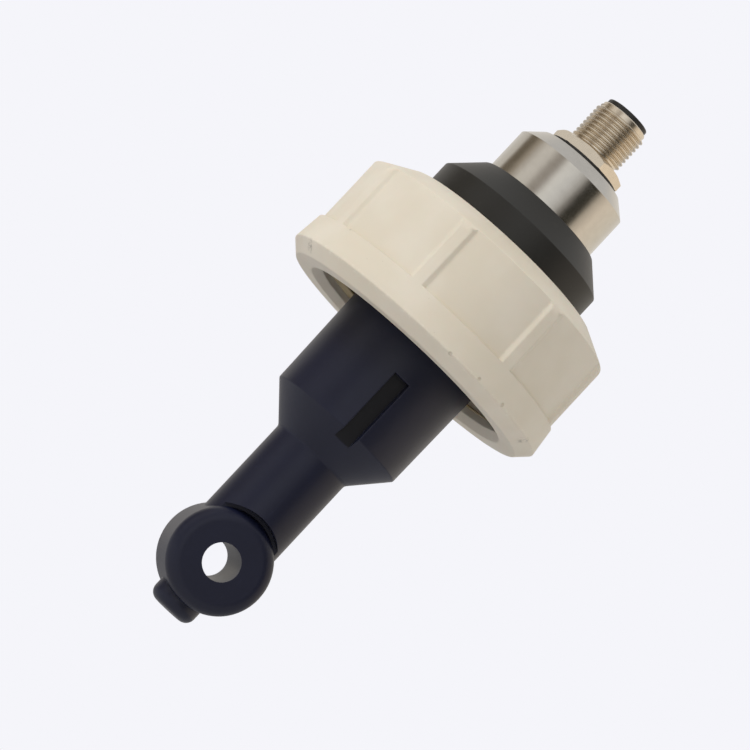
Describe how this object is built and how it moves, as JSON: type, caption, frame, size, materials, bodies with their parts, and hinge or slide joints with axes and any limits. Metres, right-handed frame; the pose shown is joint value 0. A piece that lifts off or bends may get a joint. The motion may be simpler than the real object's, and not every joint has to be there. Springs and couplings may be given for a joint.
{
  "type": "toroidal conductivity sensor",
  "caption": "Immersion sensor with a coil ring on a stepped shank, a flange held by a ribbed union nut, a collar, a metal head and a keyed round plug.",
  "frame": {"origin": "centre of the sealing face under the body's flange, on the shank's axis", "axes": "+Z along the shank's axis toward the plug connector, so the coil ring hangs at -Z; the coil ring's hole runs along Y and the plug's key is at -Y"},
  "size_m": [0.0648, 0.0648, 0.1364],
  "materials": {
    "navy_plastic": "moulded, satin",
    "cream_plastic": "moulded, satin",
    "black_plastic": "turned, satin",
    "turned_steel": "fine turned",
    "nickel_plate": "plated, satin",
    "seal_rubber": "moulded",
    "gold_contact": "gold plated",
    "green_board": "solder mask",
    "component_black": "moulded",
    "copper_winding": "enamelled copper",
    "ferrite": "sintered",
    "lead_jacket": "insulated wire"
  },
  "bodies": {
    "sensor": {"sensor_body": "navy_plastic", "face_seal": "seal_rubber", "collar_seal": "seal_rubber", "head_seal": "seal_rubber", "collar": "black_plastic", "metal_head": "turned_steel", "connector_seal": "seal_rubber", "connector_shell": "nickel_plate", "lock_nut": "nickel_plate", "contact_carrier": "black_plastic", "carrier_seal": "seal_rubber", "contact_pins": "gold_contact", "circuit_board": "green_board", "board_components": "component_black", "drive_winding": "copper_winding", "drive_core": "ferrite", "pickup_winding": "copper_winding", "pickup_core": "ferrite", "coil_shield": "copper_winding", "temperature_element": "component_black", "temperature_leads": "lead_jacket", "drive_leads": "lead_jacket", "pickup_leads": "lead_jacket", "lead_grommet": "seal_rubber"},
    "nut": {"union_nut": "cream_plastic"}
  },
  "joints": [
    {"name": "nut_spin", "type": "hinge", "parent": "sensor", "child": "nut", "pos_m": [0, 0, 0], "axis": [0, 0, 1], "continuous": true}
  ]
}
